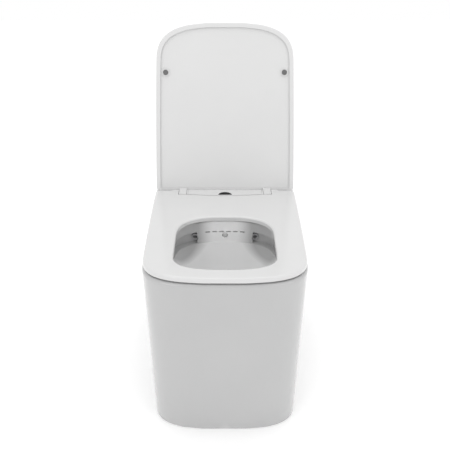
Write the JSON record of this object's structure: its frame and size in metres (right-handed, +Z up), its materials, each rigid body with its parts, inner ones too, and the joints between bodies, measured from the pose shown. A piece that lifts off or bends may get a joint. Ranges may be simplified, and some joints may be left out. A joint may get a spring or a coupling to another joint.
{
  "type": "electric bidet seat",
  "caption": "Floor-standing back-to-wall shower toilet: squared china pan, slim seat and lid, and an electric bidet unit with a sliding spray wand.",
  "frame": {"origin": "on the floor, below the middle of the bounding box in the pose shown", "axes": "+Z up; the front faces -Y and the flat back stands against a wall at +Y; +X is to the right seen from the front"},
  "size_m": [0.3712, 0.5797, 0.8298],
  "materials": {
    "china": "glossy glaze",
    "rubber": "matt",
    "rubber_grey": "matt",
    "grey_plastic": "satin",
    "dark_plastic": "satin",
    "white_plastic": "satin gloss",
    "white_gloss": "glossy",
    "seat_white": "glossy",
    "black_gloss": "glossy",
    "board": "solder mask",
    "foil": "foil",
    "zinc_steel": "zinc plated",
    "steel": "polished",
    "motor_steel": "plated",
    "brass": "satin"
  },
  "bodies": {
    "base": {"pan_skirt": "china", "pan_bowl": "china", "pan_pit": "china", "pan_trap": "china", "flush_seal": "rubber", "flush_jets": "grey_plastic", "floor_brackets": "zinc_steel", "side_screws": "zinc_steel", "side_caps": "white_plastic", "unit_tray": "grey_plastic", "unit_cover": "white_plastic", "cover_panel": "white_gloss", "sensor_window": "black_gloss", "tray_screws": "zinc_steel", "inlet_valve": "brass", "water_heater": "grey_plastic", "water_pump": "dark_plastic", "water_tubes": "rubber", "control_box": "dark_plastic", "circuit_board": "board", "cable_gland": "dark_plastic", "wand_guide": "grey_plastic", "wand_motor": "motor_steel", "damper_left": "dark_plastic", "damper_right": "dark_plastic"},
    "lid": {"lid": "seat_white", "lid_bumpers": "rubber_grey", "hinge_pin_left": "steel", "hinge_pin_right": "steel"},
    "seat": {"seat_top": "seat_white", "seat_base": "seat_white", "seat_heater": "foil", "seat_pads": "rubber_grey"},
    "wand": {"wand_tube": "steel", "wand_rack": "dark_plastic", "nozzle_tip": "white_gloss"},
    "pinion": {"wand_pinion": "dark_plastic"}
  },
  "joints": [
    {"name": "lid_hinge", "type": "hinge", "parent": "base", "child": "lid", "pos_m": [0, 0.147, 0.415], "axis": [-1, 0, 0], "range_deg": [-104.5, 0]},
    {"name": "seat_hinge", "type": "hinge", "parent": "base", "child": "seat", "pos_m": [0, 0.147, 0.415], "axis": [-1, 0, 0], "range_deg": [0, 95]},
    {"name": "wand_slide", "type": "slide", "parent": "base", "child": "wand", "axis": [0, -0.9903, -0.1392], "range_m": [0, 0.06]},
    {"name": "pinion_spin", "type": "hinge", "parent": "base", "child": "pinion", "pos_m": [0, 0.09667, 0.36552], "axis": [1, 0, 0], "range_deg": [0, 382.97]}
  ],
  "couplings": [
    {"joint": "pinion_spin", "follows": "wand_slide", "rad_per_m": 111.11}
  ]
}
